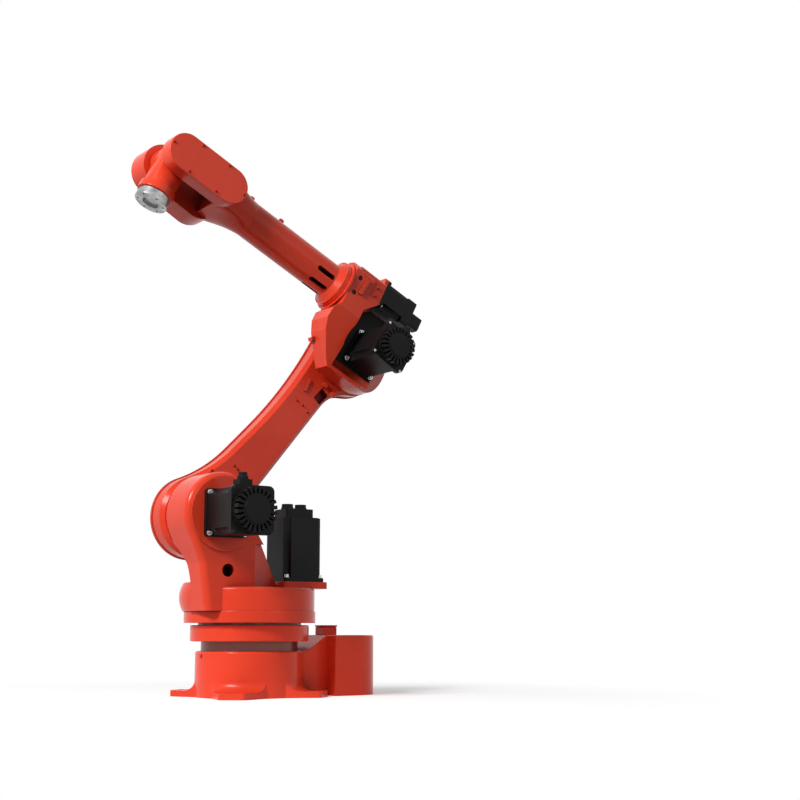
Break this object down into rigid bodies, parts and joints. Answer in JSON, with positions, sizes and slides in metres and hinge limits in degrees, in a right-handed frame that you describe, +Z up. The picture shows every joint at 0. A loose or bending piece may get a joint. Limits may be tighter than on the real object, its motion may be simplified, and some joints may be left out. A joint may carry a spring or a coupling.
{
  "type": "industrial robot arm",
  "caption": "Articulated industrial robot arm on a round base, with motor-driven turntable, shoulder, elbow, rolling forearm, forked wrist and tool flange.",
  "frame": {"origin": "on the turning axis of the base, at floor level", "axes": "+X forward, +Y to the arm's left, +Z up along the turning axis"},
  "size_m": [1.0047, 0.4888, 1.6205],
  "materials": {
    "orange_paint": "gloss",
    "motor_black": "satin",
    "fan_black": "satin",
    "plug_black": "matte",
    "bearing_steel": "satin",
    "flange_aluminium": "machined"
  },
  "bodies": {
    "base": {"base_casting": "orange_paint", "base_ring": "orange_paint", "turntable_bearing": "bearing_steel", "cable_box": "orange_paint", "cable_box_cap": "orange_paint"},
    "column": {"column_casting": "orange_paint", "shoulder_reducer": "orange_paint", "turn_motor_plate": "orange_paint", "turn_motor": "motor_black", "turn_motor_cap": "motor_black", "shoulder_motor": "motor_black", "shoulder_fan_cover": "fan_black", "shoulder_motor_plug": "plug_black"},
    "upper_arm": {"upper_arm": "orange_paint", "shoulder_cover": "orange_paint", "elbow_cover": "orange_paint", "elbow_reducer": "bearing_steel"},
    "elbow": {"elbow_casting": "orange_paint", "elbow_motor": "motor_black", "elbow_fan_cover": "fan_black", "elbow_motor_plug": "plug_black", "roll_motor_plate": "orange_paint", "roll_motor": "motor_black", "roll_motor_cap": "motor_black"},
    "forearm": {"forearm_casting": "orange_paint", "fork_cover_left": "orange_paint", "fork_cover_right": "orange_paint"},
    "wrist": {"wrist_casting": "orange_paint", "wrist_ring": "orange_paint"},
    "tool": {"tool_flange": "flange_aluminium"}
  },
  "joints": [
    {"name": "turn", "type": "hinge", "parent": "base", "child": "column", "pos_m": [0, 0, 0.2], "axis": [0, 0, 1], "range_deg": [-170, 170]},
    {"name": "shoulder", "type": "hinge", "parent": "column", "child": "upper_arm", "pos_m": [0.15, 0, 0.515], "axis": [0, 1, 0], "range_deg": [-12, 105]},
    {"name": "elbow", "type": "hinge", "parent": "upper_arm", "child": "elbow", "pos_m": [-0.39207, 0, 1.04769], "axis": [0, -1, 0], "range_deg": [-45, 95]},
    {"name": "forearm_roll", "type": "hinge", "parent": "elbow", "child": "forearm", "pos_m": [-0.45722, 0, 1.17723], "axis": [0.8934, 0, 0.4493], "range_deg": [-180, 180]},
    {"name": "wrist_bend", "type": "hinge", "parent": "forearm", "child": "wrist", "pos_m": [0.28696, 0, 1.55151], "axis": [0, 1, 0], "range_deg": [-215, 35]},
    {"name": "tool_roll", "type": "hinge", "parent": "wrist", "child": "tool", "pos_m": [0.35525, 0, 1.41572], "axis": [0.4493, 0, -0.8934], "range_deg": [-360, 360]}
  ]
}
